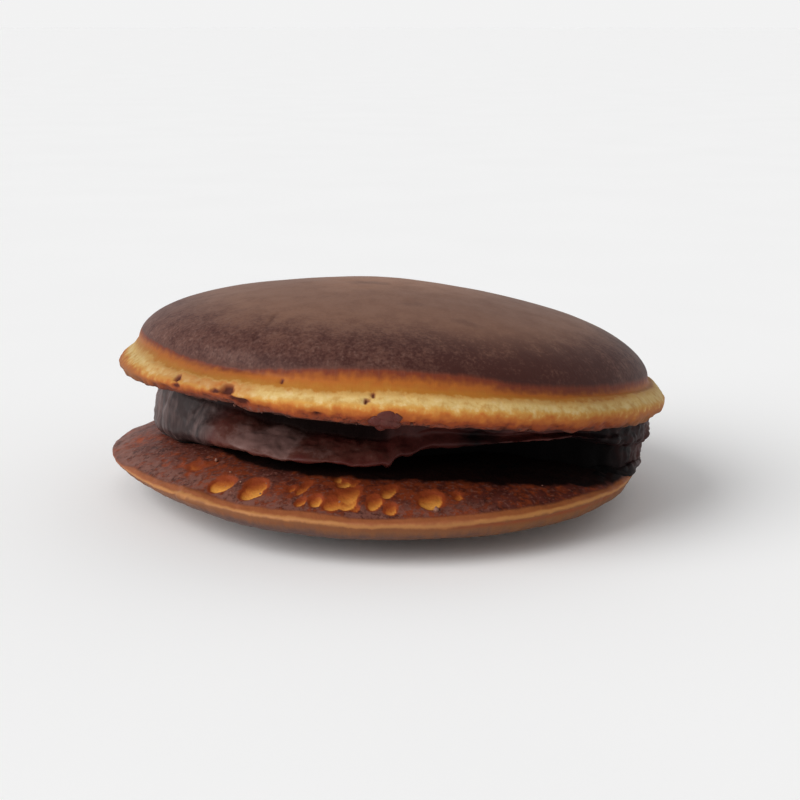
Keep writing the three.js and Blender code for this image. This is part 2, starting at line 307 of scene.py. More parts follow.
class UpperPancakeSettings(PropertyGroup):
    radius: length("Radius", "Mean radius of the flange's tip", 48.2)
    dome_radius: length("Dome radius", "Where the dome meets the flange", 44.9)
    dome_height: length("Dome height", "Top of the dome above the flange's tip", 16.7)
    crease_height: length("Crease height", "Foot of the dome above the flange's tip", 3.2)
    centre_x: length("Offset", "How far it sits to the right of the lower pancake", 1.6)
    centre_z: length("Tip height", "Height of the flange's tip at the centre", 21.75)
    pitch: turn("Front lift", "How far the front edge is raised", 4.75)
    roll: turn("Right dip", "How far the right edge is lowered", 4.45)
    steps: IntProperty(name="Steps", description="Steps around the piece", default=560, min=48)
    # Painted light and sheen: the cap is lighter over the middle of the dome, its top.
    cap_lit_top: colour("Cap, middle", "Lighter middle of the griddled top", 144, 103, 80)
    cap: colour("Cap", "Griddled top", 120, 84, 66)
    cap_ring: colour("Cap ring", "Browner ring around the top", 88, 54, 45)
    cap_deep: colour("Cap, darkest", "Darkest spots of the browning", 56, 22, 16)
    # Greyish specks and film, partly painted glints and sheen.
    speck_glint: colour("Specks", "Greyish film on the browned ring", 118, 88, 78)
    scorch: colour("Scorch", "Reddish line where the cap ends", 116, 50, 26)
    amber: colour("Amber", "Orange foot of the dome", 168, 94, 30)
    olive: colour("Olive", "Duller foot of the dome beside the pale band", 170, 110, 38)
    pale: colour("Pale rim", "Unbrowned cake of the flange", 209, 175, 110)
    crumb: colour("Crumb", "Deeper cake between the pale crumbs", 190, 144, 78)
    crumb_light: colour("Crumb, light", "Lightest crumbs of the pale cake", 224, 196, 142)
    golden: colour("Golden", "Lower end of the pale band", 204, 150, 72)
    orange: colour("Orange", "Lower part of the flange", 186, 106, 42)
    rust: colour("Rust", "Browned edge under the flange", 150, 70, 32)
    ragged: colour("Ragged edge", "Reddish crumb under the flange", 130, 62, 40)
    weathered: colour("Weathered edge", "Greyer brown under the flange at the two ends", 160, 106, 64)
    hole: colour("Holes", "Inside of the small holes", 74, 28, 16)


class LowerPancakeSettings(PropertyGroup):
    radius: length("Radius", "Mean radius of the rim", 46.5)
    ridge_height: length("Ridge height", "Height of the rim's widest ring above the table", 7.5)
    inner_rise: length("Swell", "Rise of the inner face above the ridge", 4.8)
    flat_spot: length("Flat spot", "Radius of the flat spot it rests on", 27)
    steps: IntProperty(name="Steps", description="Steps around the piece", default=760, min=48)
    face: colour("Face", "Dark griddled inner face", 84, 36, 27)
    face_deep: colour("Face, darkest", "Darkest patches of the face", 46, 16, 11)
    face_rim: colour("Face near the rim", "Greyer browning toward the rim", 120, 78, 67)
    # Painted shadow: this near-black colour stands in for the shade under the filling's overhang and in
    # the pocket.
    stain: colour("Stain", "Moist film that the paste left", 12, 8, 8)
    gold: colour("Bubble gold", "Cake shown in the burst bubbles", 226, 156, 70)
    honey: colour("Bubble honey", "Browner cake in the burst bubbles", 176, 96, 40)
    russet: colour("Bubble edge", "Reddish edge of the burst bubbles", 138, 60, 28)
    rust: colour("Rim, inner", "Soft reddish browning above the ridge", 146, 84, 50)
    tan: colour("Ridge", "Bright line of the ridge", 170, 114, 66)
    side: colour("Side", "Brown side under the ridge", 126, 79, 48)
    underside: colour("Underside", "Browned underside", 92, 66, 58)


class FillingSettings(PropertyGroup):
    sink: length("Sink", "How far the paste presses into each pancake", 0.3)
    lumps: length("Lumps", "Height of its broad lumps", 0.55)
    steps: IntProperty(name="Steps", description="Steps around the piece", default=640, min=48)
    paste: colour("Paste", "Smooth brown paste", 92, 52, 44)
    paste_deep: colour("Paste, darkest", "Darkest streaks of the paste", 82, 34, 29)
    # Dry greyish film, partly a painted highlight where the roll faces the light.
    paste_dry_lit: colour("Paste, dry", "Dry greyish film on its outside", 124, 92, 86)
    stroke_dark: colour("Strokes, dark", "Furrows of the stroked paste", 50, 36, 35)
    stroke_light: colour("Strokes, light", "Ridges of the stroked paste", 98, 78, 75)
    # Painted shade: the near-black colour of paste lying in shadow under the upper pancake and at the
    # right end.
    moist: colour("Moist", "Moist paste that clings to the upper pancake", 20, 13, 14)
    # Painted shade: the near-black colour of the pocket and of the recess above the lip, which lie in
    # shadow.
    pocket: colour("Pocket", "Paste deep in the pocket", 8, 6, 6)


class CrumbSettings(PropertyGroup):
    seed: IntProperty(name="Seed", description="Changes where the crumbs lie", default=7)
    burnt_count: IntProperty(name="Burnt", description="Number of burnt crumbs", default=22, min=0)
    light_count: IntProperty(name="Light", description="Number of scattered crumbs", default=8, min=0)
    burnt: colour("Burnt crumbs", "Crumbs along the flange's lower edge", 88, 44, 30)
    light: colour("Light crumbs", "Crumbs on the lower pancake's face", 152, 104, 86)


class StudioSettings(PropertyGroup):
    floor: colour("Floor", "Plain pale floor", 250, 250, 250)
    camera_distance: length("Camera distance", "From the camera to the point it looks at", 300)
    camera_height: turn("Camera elevation", "How far the camera looks down", 13)
    camera_target: FloatVectorProperty(
        name="Camera target",
        description="The point the camera looks at",
        default=(3.56 * MM, 0, 16.5 * MM),
        subtype="TRANSLATION",
        unit="LENGTH",
    )
    camera_lens: FloatProperty(name="Lens", description="Focal length, millimetres", default=74.9, min=1)
    key_strength: FloatProperty(name="Key", description="Soft light from above", default=2.26, min=0)
    key_softness: turn("Key softness", "How wide the key light is", 50)
    key_direction: FloatVectorProperty(
        name="Key direction",
        description="Where the key light comes from",
        default=(-0.8, -0.4, 0.62),
        subtype="DIRECTION",
    )
    sky: share("Sky", "Strength of the even light from above", 0.5)
    horizon: share("Horizon", "Brightness of the sky at the horizon", 0.89)


# ---- shapes -----------------------------------------------------------------------------------------


def smooth(low, high, value):
    """0 below low, 1 above high, eased between them."""
    part = min(max((value - low) / (high - low), 0), 1)
    return part * part * (3 - 2 * part)


def around(radius, angle, height):
    """The point at a radius, an angle and a height."""
    return Vector((radius * math.cos(angle), radius * math.sin(angle), height))


def window(value, low, full, fading, high):
    """1 from full to fading, easing to 0 at low and at high."""
    return smooth(low, full, value) * (1 - smooth(fading, high, value))


def between(pairs, position):
    """Straight interpolation in a list of (position, value) pairs."""
    for (x0, y0), (x1, y1) in zip(pairs, pairs[1:]):
        if position < x1:
            return y0 + (y1 - y0) * (position - x0) / (x1 - x0)
    return pairs[-1][1]


def eased(rows, angle):
    """The values of a table's row at an angle, eased between the listed ones."""
    degrees = math.degrees(angle)
    for before, after in zip(rows, rows[1:]):
        if degrees <= after[0]:
            part = smooth(before[0], after[0], degrees)
            return [low + (high - low) * part for low, high in zip(before[1:], after[1:])]
    return list(rows[-1][1:])


def banded(along, edges):
    """Counts up by one from each edge to the next; in millimetres before the first and after the last."""
    if along < edges[0]:
        return along - edges[0]
    for index, (start, end) in enumerate(zip(edges, edges[1:])):
        if along < end:
            return index + (along - start) / (end - start)
    return len(edges) - 1 + along - edges[-1]


def rounded(points, passes):
    """The fine line through the points, with its corners relaxed."""
    line = [Vector(points[0])]
    for start, end in zip(points, points[1:]):
        step = Vector(end) - Vector(start)
        count = max(1, round(step.length / FINE))
        line.extend(Vector(start) + step * (index + 1) / count for index in range(count))
    for _ in range(passes):
        middle = [(a + 2 * b + c) / 4 for a, b, c in zip(line, line[1:], line[2:])]
        line = [line[0], *middle, line[-1]]
    return line


def thinned(line, zero, spacings):
    """Picks points of a fine line at the listed spacings; each gets its distance from point zero."""
    distances = [0.0]
    for start, end in zip(line, line[1:]):
        distances.append(distances[-1] + (end - start).length)
    offset = distances[zero]
    picked = [(line[0].x, line[0].y, -offset)]
    for point, distance in zip(line[1:-1], distances[1:-1]):
        along = distance - offset
        if along - picked[-1][2] >= next(gap for limit, gap in spacings if along < limit):
            picked.append((point.x, point.y, along))
    picked.append((line[-1].x, line[-1].y, distances[-1] - offset))
    return picked


def spun(section, steps):
    """A half-section of (radius, height, distance along it) points turned into a closed shell."""
    mesh = bmesh.new()
    along = mesh.verts.layers.float.new("along")
    verts = []
    for radius, height, distance in section:
        vert = mesh.verts.new((radius, 0, height))
        vert[along] = distance
        verts.append(vert)
    for start, end in zip(verts, verts[1:]):
        mesh.edges.new((start, end))
    bmesh.ops.spin(
        mesh,
        geom=mesh.verts[:] + mesh.edges[:],
        cent=(0, 0, 0),
        axis=(0, 0, 1),
        angle=2 * math.pi,
        steps=steps,
        use_merge=True,
    )
    bmesh.ops.remove_doubles(mesh, verts=mesh.verts, dist=1e-4)
    bmesh.ops.recalc_face_normals(mesh, faces=mesh.faces)
    return mesh


def grain(point, size, seed):
    """Smooth noise, about -1 to 1, with features of the given size."""
    return noise.noise(Vector((point[0], point[1], point[2] + 37.0 * seed)) / size)


def bumps(point, *kinds):
    """The sum of noises, each given by its height, size and seed."""
    return sum(height * grain(point, size, seed) for height, size, seed in kinds)


def polar(vert):
    return math.hypot(vert.co.x, vert.co.y), math.atan2(vert.co.y, vert.co.x)


def formed(section, steps, place, names):
    """A spun section with its points put in place, its layer of distances and a new one for each name."""
    mesh = spun(section, steps)
    layers = mesh.verts.layers.float
    along = layers["along"]
    for vert in mesh.verts:
        vert.co = place(*polar(vert), vert.co.z, vert[along])
    mesh.normal_update()
    added = [layers.new(name) for name in names]
    return mesh, layers["along"], added


def finished(mesh, name, material, nodes=()):
    """Turns the worked-out millimetres into a smooth object that rides on the root body."""
    bmesh.ops.scale(mesh, vec=(MM, MM, MM), verts=mesh.verts)
    data = bpy.data.meshes.new(name)
    mesh.to_mesh(data)
    mesh.free()
    data.shade_smooth()
    data.materials.append(material)
    piece = bpy.data.objects.new(name, data)
    bpy.context.scene.collection.objects.link(piece)
    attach(piece, "root")
    if nodes:
        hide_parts(*nodes)


class Pancake:
    """A section turned round an uneven outline; distances along it count from its corner."""

    def __init__(self, radius, waves):
        self.radius = radius / MM
        self.waves = waves

    def set_section(self, points, corner, passes, spacings, closing=()):
        """Rounds the line through the points, closes it and picks the section's points from it."""
        line = rounded(points, passes)
        line.extend(Vector(point) for point in closing)
        zero = min(range(len(line)), key=lambda index: (line[index] - Vector(corner)).length)
        self.section = thinned(line, zero, spacings)

    def outline(self, angle):
        total = self.radius
        for index, (cosine, sine) in enumerate(self.waves):
            turns = index + 2
            total += cosine * math.cos(turns * angle) + sine * math.sin(turns * angle)
        return total


class UpperShape(Pancake):
    """Where the upper pancake's surface is."""

    def __init__(self, sizes):
        super().__init__(sizes.radius, UPPER_WAVES)
        self.dome_radius = sizes.dome_radius / MM
        self.place = (
            Matrix.Translation((sizes.centre_x / MM, 0, sizes.centre_z / MM))
            @ Matrix.Rotation(sizes.roll, 4, "Y")
            @ Matrix.Rotation(-sizes.pitch, 4, "X")
        )
        crease = (self.dome_radius, sizes.crease_height / MM)
        dome = self.dome(crease[1], sizes.dome_height / MM)
        flange = [(self.radius - inset, height) for inset, height in FLANGE_TOP]
        under = [(self.radius - inset, -drop) for inset, drop in UPPER_UNDERSIDE]
        centre = (0, -UPPER_UNDERSIDE[-1][1])
        self.set_section([*dome, crease, *flange, *under, centre], crease, 14, UPPER_SPACING)

    def dome(self, foot, top, count=240):
        gathered, fall, roundness = DOME_CURVE
        points = []
        for index in range(count):
            part = 1 - (1 - index / count) ** gathered
            points.append((part * self.dome_radius, foot + (top - foot) * (1 - part**fall) ** roundness))
        return points

    def depth(self, radius, angle):
        """How many times deeper the underside is here than in the section."""
        return 1 + (eased(UPPER_DEPTH, angle)[0] - 1) * (radius / self.radius) ** 2

    def moved(self, radius, angle, height, along):
        """A point of the turned section, moved to the pancake's uneven outline."""
        if height < 0:
            height *= self.depth(radius, angle)
        fade = 1 - smooth(0, 1.6, along)
        height -= 0.6 * (radius / self.dome_radius) ** 6 * math.cos(angle) * fade
        return around(radius * self.outline(angle) / self.radius, angle, height)

    def underside(self, radius, angle):
        """Depth of the underside below the tip, before the pancake is tilted."""
        return self.depth(radius, angle) * between(UPPER_UNDERSIDE, self.outline(angle) - radius)

    def on_section(self, angle, along):
        radius = between([(a, r) for r, _, a in self.section], along)
        height = between([(a, h) for _, h, a in self.section], along)
        return self.moved(radius, angle, height, along)

    def at(self, angle, along):
        """A point on the finished pancake, and the direction out of it."""
        above, here, below = (self.on_section(angle, along + step) for step in (-0.3, 0.0, 0.3))
        beside = self.on_section(angle + 0.01, along)
        outward = (below - above).cross(beside - here).normalized()
        return self.place @ here, self.place.to_3x3() @ outward


class LowerShape(Pancake):
    """Where the lower pancake's surface is."""

    def __init__(self, sizes, count=200):
        super().__init__(sizes.radius, LOWER_WAVES)
        self.ridge_height = sizes.ridge_height / MM
        self.inner_rise = sizes.inner_rise / MM
        parts = [index / count for index in range(count)]
        face = [(part * self.radius, self.risen(part)) for part in parts]
        ridge = (self.radius, self.ridge_height)
        under = [(self.radius - inset, self.ridge_height - drop) for inset, drop in LOWER_UNDERSIDE]
        flat = (sizes.flat_spot / MM, 0)
        self.set_section([*face, ridge, *under, flat], ridge, 10, LOWER_SPACING, [(0, 0)])

    def risen(self, part):
        """Height of the inner face at a part of the way from the middle to the rim."""
        return self.ridge_height + self.inner_rise * (1 - part**FACE_CURVE)

    def face_height(self, radius, angle):
        return self.risen(radius / self.outline(angle))

    def moved(self, radius, angle, height, along):
        """A point of the turned section, moved to the outline and lowered where the side hangs deeper."""
        if along > 0 and 0 < height < self.ridge_height:
            amount, direction = LOWER_SWELL
            swell = 1 + amount * (radius / self.radius) ** 2 * math.cos(angle - direction)
            height = max(self.ridge_height - (self.ridge_height - height) * swell, 0.0)
        return around(radius * self.outline(angle) / self.radius, angle, height)

    def at(self, angle, inset):
        """A point on the inner face, a distance in from the rim, and the direction out of it."""
        radius = self.outline(angle) - inset
        slope = (self.face_height(radius + 0.2, angle) - self.face_height(radius - 0.2, angle)) / 0.4
        here = around(radius, angle, self.face_height(radius, angle))
        return here, around(-slope, angle, 1).normalized()


def dish(distance, depth, edge=0.3):
    """Depth of a rounded hollow at a distance of 0 (middle) to 1 (edge) and beyond."""
    return depth * (1 - smooth(1 - edge, 1 + edge, distance)) * (1 - 0.35 * min(distance, 1) ** 2)


# ---- materials --------------------------------------------------------------------------------------


class Field:
    """A shader socket that takes part in Python arithmetic; each operation adds its Math node."""

    def __init__(self, finish, socket):
        self.finish = finish
        self.socket = socket

    def math(self, operation, *values):
        sockets = dict(enumerate(values))
        return self.finish.node("ShaderNodeMath", {"operation": operation}, sockets)

    def __add__(self, other):
        return self.math("ADD", self, other)

    def __radd__(self, other):
        return self.math("ADD", other, self)

    def __sub__(self, other):
        return self.math("SUBTRACT", self, other)

    def __rsub__(self, other):
        return self.math("SUBTRACT", other, self)

    def __mul__(self, other):
        return self.math("MULTIPLY", self, other)

    def __rmul__(self, other):
        return self.math("MULTIPLY", other, self)

    def __truediv__(self, other):
        return self.math("DIVIDE", self, other)

    def swing(self, amount):
        """Noise from 0 to 1 turned to swing half the amount either way."""
        return (self - 0.5) * amount

    def clamped(self):
        return self.math("MINIMUM", self.math("MAXIMUM", self, 0.0), 1.0)

    def step(self, low, high):
        """0 below low, 1 above high, eased between them."""
        sockets = {"Value": self, "From Min": low, "From Max": high}
        return self.finish.node("ShaderNodeMapRange", {"interpolation_type": "SMOOTHSTEP"}, sockets)

    def window(self, low, full, fading, high):
        """1 from full to fading, easing to 0 at low and at high."""
        return self.step(low, full) * (1 - self.step(fading, high))


class Shading:
    """A node tree under construction."""

    def __init__(self, tree):
        self.tree = tree
        tree.nodes.clear()

    def node(self, kind, settings=None, sockets=None, output=0):
        """Adds a node: its settings first, then its sockets' values or links."""
        node = self.tree.nodes.new(kind)
        for name, value in (settings or {}).items():
            if name == "stops":
                self.set_stops(node.color_ramp, value)
            else:
                setattr(node, name, value)
        for key, value in (sockets or {}).items():
            socket = node.inputs[key]
            if isinstance(value, Field):
                self.tree.links.new(value.socket, socket)
            else:
                socket.default_value = value
        return Field(self, node.outputs[output]) if node.outputs else None

    @staticmethod
    def set_stops(ramp, stops):
        while len(ramp.elements) < len(stops):
            ramp.elements.new(1)
        for element, (position, shade) in zip(ramp.elements, stops):
            element.position = position
            element.color = (*shade, 1)


class Finish(Shading):
    """One material under construction."""

    def __init__(self, name):
        self.material = bpy.data.materials.new(name)
        self.material.use_nodes = True
        super().__init__(self.material.node_tree)
        self.position = self.scaled(self.node("ShaderNodeTexCoord", output="Object"), 1 / MM)

    def attributes(self, *names):
        settings = [{"attribute_name": name} for name in names]
        return [self.node("ShaderNodeAttribute", setting, output="Fac") for setting in settings]

    def vector(self, operation, *values, output=0):
        sockets = dict(enumerate(values))
        return self.node("ShaderNodeVectorMath", {"operation": operation}, sockets, output)

    def scaled(self, vector, factor):
        return self.node("ShaderNodeVectorMath", {"operation": "SCALE"}, {0: vector, "Scale": factor})

    def grain(self, size, detail=2.0, roughness=0.5, vector=None, shift=0.0):
        """Noise from 0 to 1 with features of a size in millimetres."""
        source = vector or self.position
        if shift:
            source = self.vector("ADD", source, (shift, shift, shift))
        sockets = {"Vector": source, "Scale": 1 / size, "Detail": detail, "Roughness": roughness}
        return self.node("ShaderNodeTexNoise", None, sockets)

    def mix(self, low, high, part):
        """From one colour to another by a part of 0 to 1."""
        shades = [value if isinstance(value, Field) else (*value, 1) for value in (low, high)]
        settings = {"data_type": "RGBA", "blend_type": "MIX", "clamp_factor": True}
        return self.node("ShaderNodeMix", settings, {0: part, 6: shades[0], 7: shades[1]}, output=2)

    def coated(self, shade, *coats):
        """A colour with coats over it, each a colour and the part it covers."""
        for coat, part in coats:
            shade = self.mix(shade, coat, part)
        return shade

    def ramp(self, value, stops):
        """Colours at positions between those of the first and the last stop."""
        low, high = stops[0][0], stops[-1][0]
        placed = [((position - low) / (high - low), shade) for position, shade in stops]
        return self.node("ShaderNodeValToRGB", {"stops": placed}, {0: (value - low) / (high - low)})

    def radial(self, width, length_in):
        """Coordinates for streaks that run toward the middle, closed all the way round."""
        flat = self.vector("MULTIPLY", self.position, (1.0, 1.0, 0.0))
        reach = self.vector("LENGTH", flat, output="Value")
        height = self.node("ShaderNodeCombineXYZ", None, {"Z": reach / length_in})
        ring = self.scaled(self.vector("NORMALIZE", flat), RIM_RADIUS / width)
        return self.vector("ADD", ring, height)

    def surface(self, base, roughness, height, depth, **uniform):
        """The closing shader; height is relief in millimetres, depth its strength."""
        sockets = {"Height": height, "Distance": MM, "Strength": depth}
        normal = self.node("ShaderNodeBump", None, sockets, output="Normal")
        values = {"Base Color": base, "Roughness": roughness, "Normal": normal}
        values.update({name.replace("_", " "): value for name, value in uniform.items()})
        shader = self.node("ShaderNodeBsdfPrincipled", None, values)
        self.node("ShaderNodeOutputMaterial", None, {"Surface": shader})
        return self.material


def upper_crust(sizes):
    """Tone is below 0 on the cap, 0 to 1 over the amber foot of the dome, 1 to 2 over the pale band,
    2 to 3 over the browned edge and above 3 underneath."""
    finish = Finish("upper_crust")
    tone, baked, dull, browned, ends, hole, mark = finish.attributes(*UPPER_LAYERS)
    broad = finish.grain(11, 2)
    patches = finish.grain(3.4, 4, 0.6)
    blobs = finish.grain(1.3, 2, 0.4, shift=13)
    fine = finish.grain(0.55, 3, 0.6)
    film = finish.grain(0.7, 4, 0.6, shift=31)
    streaks = finish.grain(1, 3, 0.6, finish.radial(0.6, 1.8))
    # Painted light and sheen: the cap lightens toward the middle of the dome.
    middle = (tone + broad.swing(8)).step(-44, -26)
    narrowed = tone * (baked * 0.3 + 1)
    ring = (narrowed + broad.swing(4) + patches.swing(2)).step(-19, -3)
    spots = (patches.swing(2.4) + fine.swing(3.2) + ring * 0.2 + baked * 0.95).clamped()
    cap = finish.coated(
        sizes.cap_lit_top,
        (sizes.cap, middle),
        (sizes.cap_ring, (ring + patches.swing(0.8)).clamped()),
        # Greyish specks, partly painted glints and sheen, fewer where the ring is darkest.
        (sizes.speck_glint, film.step(0.46, 0.7) * (ring * 0.42 + 0.12) * (1 - baked * 0.85)),
        (sizes.cap_deep, (spots * (ring * 0.72 + 0.14) + mark * 0.8).clamped()),
        (sizes.cap_deep, baked * 0.4 * tone.step(-3.0, -1.2)),
    )
    uneven = broad.swing(0.3) + blobs.swing(0.5)
    cap_tone = tone + uneven + streaks.swing(0.5) * (1 - tone.step(-0.2, 0.3))
    foot = finish.ramp(cap_tone, [
        (-1.0, sizes.cap_ring), (-0.3, sizes.cap_ring), (0.02, sizes.scorch),
        (0.42, sizes.amber), (0.8, sizes.olive), (1.0, sizes.olive),
    ])
    # Pale streaks at the cap's edge, partly painted highlights on its fine wrinkles.
    upright = streaks.swing(3.0) * cap_tone.window(-2.0, -0.9, -0.1, 0.3)
    foot = finish.coated(
        foot,
        (sizes.scorch, baked * 0.9 * (1 - cap_tone.step(-0.2, 0.45))),
        (sizes.cap_deep, baked * 0.45 * (1 - cap_tone.step(-0.5, 0.15))),
        (sizes.speck_glint, upright.clamped() * (1 - baked * 0.8) * 0.5),
    )
    crust = finish.mix(cap, foot, (cap_tone + baked * 0.1).step(-0.8, 0.0))
    band_tone = tone + broad.swing(0.2) + blobs.swing(0.6) + fine.swing(0.3)
    # Beyond the ragged crumb the colour darkens to the darkest cap colour: painted shade under the
    # flange.
    cake = finish.ramp(band_tone, [
        (0.8, sizes.olive), (1.04, sizes.crumb), (1.36, sizes.pale), (1.66, sizes.pale),
        (1.95, sizes.golden), (2.25, sizes.orange), (2.62, sizes.rust), (3.1, sizes.ragged),
        (3.9, sizes.ragged), (5.0, sizes.cap_deep),
    ])
    band = band_tone.window(0.9, 1.2, 1.7, 2.2)
    rough_cake = blobs.swing(5.0) + fine.swing(3.0)
    burnt = (fine.swing(4.0) + blobs.swing(4.0)).clamped() * band_tone.step(2.5, 3.1)
    # Greyish specks on the ragged edge, partly painted glints on its lumps.
    greyish = film.swing(6.0).clamped() * band_tone.step(2.8, 3.3)
    cake = finish.coated(
        cake,
        (sizes.crumb, rough_cake.clamped() * band * 0.8),
        (sizes.crumb_light, (rough_cake * -1.0 - 0.2).clamped() * band * 0.6),
        (sizes.orange, (browned * 1.1 + blobs.swing(browned)).clamped() * band),
        (sizes.weathered, ends * band_tone.step(1.9, 2.7) * 0.8),
        (sizes.cap_deep, burnt * 0.8),
        (sizes.speck_glint, greyish * 0.6),
    )
    shade = finish.mix(crust, cake, band_tone.step(0.78, 0.98))
    # The first coat is painted shade: the rim darkened at the angles where it gets less light.
    shade = finish.coated(
        shade,
        (finish.scaled(shade, 0.5), dull * cap_tone.step(-1.0, 0.3)),
        (sizes.scorch, hole.step(0.05, 0.7) * 0.8),
        (sizes.hole, hole.step(0.6, 1.0)),
    )
    relief = fine * 0.06 + patches * 0.1 + streaks * 0.06 * (0.3 + ring) + blobs * 0.12 * band
    roughness = 0.5 + patches * 0.14 + band_tone.step(0.8, 1.3) * 0.15
    return finish.surface(shade, roughness, relief, 0.6, Specular_IOR_Level=0.2)


def lower_crust(sizes):
    """Tone is below 0 on the dark face, 0 to 1 over the tan ridge and above 1 on the side below it."""
    finish = Finish("lower_crust")
    tone, grey, ashen, bubble, halo, groove, stain = finish.attributes(*LOWER_LAYERS)
    broad = finish.grain(8, 3)
    patches = finish.grain(2.2, 4, 0.62)
    mottle = finish.grain(1.1, 3, 0.6, shift=23)
    fine = finish.grain(0.5, 3, 0.65)
    specks = finish.grain(0.6, 2, 0.5, shift=17)
    streaks = finish.grain(1, 3, 0.6, finish.radial(1.4, 5))
    near = (tone + patches.swing(4)).step(-5.5, -1.5)
    wide = (tone + patches.swing(5)).step(-15, -2) * ashen.step(0.7, 1.0)
    ash = (near * ashen.step(0.0, 0.5) * 0.75 + wide * 0.5).clamped()
    dark = (patches - 0.48) * 4.5 + mottle.swing(4.5) + fine.swing(3)
    dark += (1 - ashen) * 0.3 + ashen.step(0.8, 1.0) * 0.14
    ruddy = broad.swing(3.6) + mottle.swing(5) + ashen * (1 - ashen) * 4.0 * (1 - near)
    glow = bubble + fine.swing(0.16)
    gold = finish.ramp(glow, [
        (0.0, sizes.russet), (0.25, sizes.russet), (0.5, sizes.honey), (0.85, sizes.gold),
        (1.0, sizes.gold),
    ])
    # Painted shadow on the face under the filling's overhang and in the pocket, with no coat there.
    shadowed = (stain + patches.swing(0.5)).step(0.1, 0.9)
    face = finish.coated(
        sizes.face,
        (sizes.face_rim, ash),
        (sizes.face_deep, dark.clamped() * 0.8),
        (sizes.russet, ruddy.clamped() * 0.72),
        (sizes.face_rim, specks.step(0.56, 0.66) * (0.55 + ashen * 0.35)),
        (sizes.russet, (halo + mottle.swing(0.8)).step(0.1, 0.8)),
        (gold, glow.step(0.1, 0.45)),
        (sizes.stain, shadowed * 0.96),
    )
    line = tone + broad.swing(0.4) + patches.swing(0.4) + streaks.swing(0.3)
    rim = finish.ramp(line, [
        (-0.6, sizes.face), (0.1, sizes.rust), (0.5, sizes.rust), (0.72, sizes.tan), (0.86, sizes.tan),
        (1.05, sizes.side), (1.6, sizes.side),
    ])
    # The underside's colour reaches up the side, and further where shade is painted on the side.
    below = streaks.swing(1.6) + (patches - 0.5) + line.step(1.3, 3.0) * (0.3 + grey)
    rim = finish.mix(rim, sizes.underside, below.clamped() * line.step(1.0, 1.6))
    rim = finish.mix(rim, finish.vector("MULTIPLY", rim, (0.95, 0.95, 0.8)), 1 - ashen.step(0.0, 0.5))
    rim = finish.mix(rim, sizes.russet, groove * 0.75)
    shade = finish.mix(face, rim, line.step(-0.7, 0.15))
    relief = fine * 0.09 + patches * 0.14 + specks * 0.06 + mottle * 0.06
    roughness = 0.5 + patches * 0.18
    coat = (1 - shadowed) * 0.3
    return finish.surface(
        shade, roughness, relief, 0.8, Specular_IOR_Level=0.05, Coat_Weight=coat, Coat_Roughness=0.5
    )


def bean_paste(sizes, name):
    """Hollow is 1 in the pocket and the recess above the lip, shade painted there; the shade layer paints
    shade on the clinging layer and the right end; film is on dry paste and partly a painted highlight;
    stroke is on stroked paste.
    """
    finish = Finish(name)
    hollow, moist, film, stroke = finish.attributes(*PASTE_LAYERS)
    broad = finish.grain(7, 3)
    patches = finish.grain(2.4, 4, 0.6)
    upright_lines = finish.vector("MULTIPLY", finish.position, (1.0, 1.0, UPRIGHT))
    streaks = finish.grain(1.7, 3, 0.6, upright_lines)
    fine = finish.grain(0.6, 3, 0.6)
    # Film is dry paste and partly a painted highlight: lighter where the light falls on the roll.
    worn = film + broad.swing(0.9) + patches.swing(0.9) + fine.swing(0.4)
    shade = finish.ramp(worn, [
        (0.0, sizes.paste_deep), (0.25, sizes.paste_deep), (0.6, sizes.paste), (1.0, sizes.paste_dry_lit),
    ])
    upright = (streaks.swing(3.6) + film * 1.2 - 0.2).clamped()
    shade = finish.mix(shade, finish.mix(sizes.stroke_dark, sizes.stroke_light, upright), stroke)
    # Painted shade: the paste turns near-black where it lies in shadow.
    shade = finish.mix(shade, sizes.moist, (moist + patches.swing(moist)).clamped())
    # Painted shade in the pocket and the recess above the lip.
    shade = finish.mix(shade, sizes.pocket, hollow)
    relief = fine * 0.06 + patches * 0.16
    roughness = 0.5 + hollow * 0.4
    coat = (1 - hollow) * (1 - moist * 0.85) * 0.3
    return finish.surface(
        shade, roughness, relief, 0.6, Specular_IOR_Level=0.05, Coat_Weight=coat, Coat_Roughness=0.45
    )


def crumb_finish(name, shade):
    """Plain dry crumb in one colour and its darker shade."""
    finish = Finish(name)
    fine = finish.grain(0.4, 3, 0.6)
    deep = [channel * 0.6 for channel in shade]
    return finish.surface(finish.mix(shade, deep, fine), 0.6 + fine * 0.2, fine * 0.1, 0.5)


# ---- pieces -----------------------------------------------------------------------------------------


